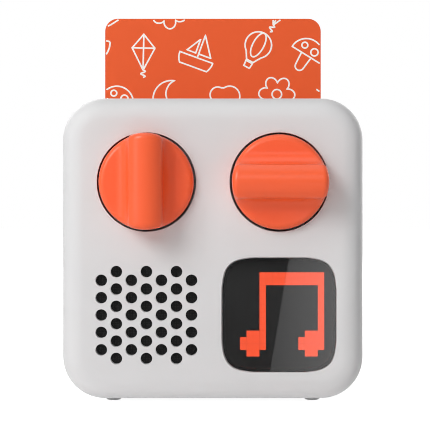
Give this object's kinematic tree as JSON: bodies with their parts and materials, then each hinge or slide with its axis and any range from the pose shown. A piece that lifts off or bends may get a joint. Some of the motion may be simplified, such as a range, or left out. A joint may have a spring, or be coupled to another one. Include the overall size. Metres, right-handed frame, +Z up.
{
  "type": "audio story player",
  "caption": "Small rounded-cube audio player for children, with turn-and-press grip knobs, a dot-matrix display, a speaker grille and a lift-out story card.",
  "frame": {"origin": "on the surface the player stands on, under the middle of its overall box", "axes": "+Z up, the front with the knobs and display faces -Y, +X to the right as seen from the front"},
  "size_m": [0.07, 0.0515, 0.0929],
  "materials": {
    "housing_abs": "fine matte moulded ABS, pale warm grey-white",
    "inner_abs": "black moulded plastic",
    "card_pvc": "printed PVC card, orange with white line drawings",
    "knob_plastic": "satin moulded orange plastic",
    "shaft_metal": "turned",
    "plated_zinc": "nickel-plated die casting",
    "plated_steel": "nickel-plated sheet",
    "magnet": "plated magnet",
    "screw_steel": "zinc-plated",
    "smoked_acrylic": "dark smoked acrylic, polished",
    "diffuser_film": "milky diffusing film",
    "black_foam": "closed-cell foam",
    "circuit_board": "glass-epoxy laminate with green solder mask",
    "speaker_paper": "coated paper",
    "mesh_cloth": "black woven acoustic mesh",
    "battery_pouch": "laminated foil pouch",
    "foot_rubber": "pale grey rubber"
  },
  "bodies": {
    "housing": {"battery": "battery_pouch", "battery_pad": "black_foam", "board_screws": "screw_steel", "card_sleeve": "inner_abs", "chamber_screws": "screw_steel", "cover_screws": "screw_steel", "display_diffuser": "diffuser_film", "display_gasket": "black_foam", "display_screws": "screw_steel", "display_window": "smoked_acrylic", "encoder_left_body": "inner_abs", "encoder_left_bushing": "plated_zinc", "encoder_left_nut": "plated_zinc", "encoder_right_body": "inner_abs", "encoder_right_bushing": "plated_zinc", "encoder_right_nut": "plated_zinc", "feet": "foot_rubber", "front_housing": "housing_abs", "grille_mesh": "mesh_cloth", "headphone_jack": "inner_abs", "led_board": "circuit_board", "main_board": "circuit_board", "pixel_baffle": "inner_abs", "power_switch": "inner_abs", "reader_antenna": "circuit_board", "rear_cover": "housing_abs", "shield_can": "plated_steel", "speaker_basket": "plated_steel", "speaker_chamber": "inner_abs", "speaker_cone": "speaker_paper", "speaker_dust_cap": "speaker_paper", "speaker_gasket": "black_foam", "speaker_magnet": "magnet", "usb_c_shell": "plated_steel", "usb_c_tongue": "inner_abs"},
    "plunger_left": {"encoder_left_plunger": "inner_abs"},
    "plunger_right": {"encoder_right_plunger": "inner_abs"},
    "knob_left": {"knob_left": "knob_plastic", "encoder_left_shaft": "shaft_metal"},
    "knob_right": {"knob_right": "knob_plastic", "encoder_right_shaft": "shaft_metal"},
    "power_button": {"power_button": "housing_abs", "power_switch_plunger": "inner_abs"},
    "story_card": {"story_card": "card_pvc"}
  },
  "joints": [
    {"name": "knob_left_press", "type": "slide", "parent": "housing", "child": "plunger_left", "axis": [0, 1, 0], "range_m": [0, 0.0008], "stiffness_N_per_m": 3000},
    {"name": "knob_left_turn", "type": "hinge", "parent": "plunger_left", "child": "knob_left", "pos_m": [-0.0153, -0.01625, 0.05135], "axis": [0, 1, 0], "continuous": true},
    {"name": "knob_right_press", "type": "slide", "parent": "housing", "child": "plunger_right", "axis": [0, 1, 0], "range_m": [0, 0.0008], "stiffness_N_per_m": 3000},
    {"name": "knob_right_turn", "type": "hinge", "parent": "plunger_right", "child": "knob_right", "pos_m": [0.0153, -0.01625, 0.05135], "axis": [0, 1, 0], "continuous": true},
    {"name": "power_button_press", "type": "slide", "parent": "housing", "child": "power_button", "axis": [-1, 0, 0], "range_m": [0, 0.0005], "stiffness_N_per_m": 3000},
    {"name": "story_card_lift", "type": "slide", "parent": "housing", "child": "story_card", "axis": [0, 0, 1], "range_m": [0, 0.066]}
  ]
}
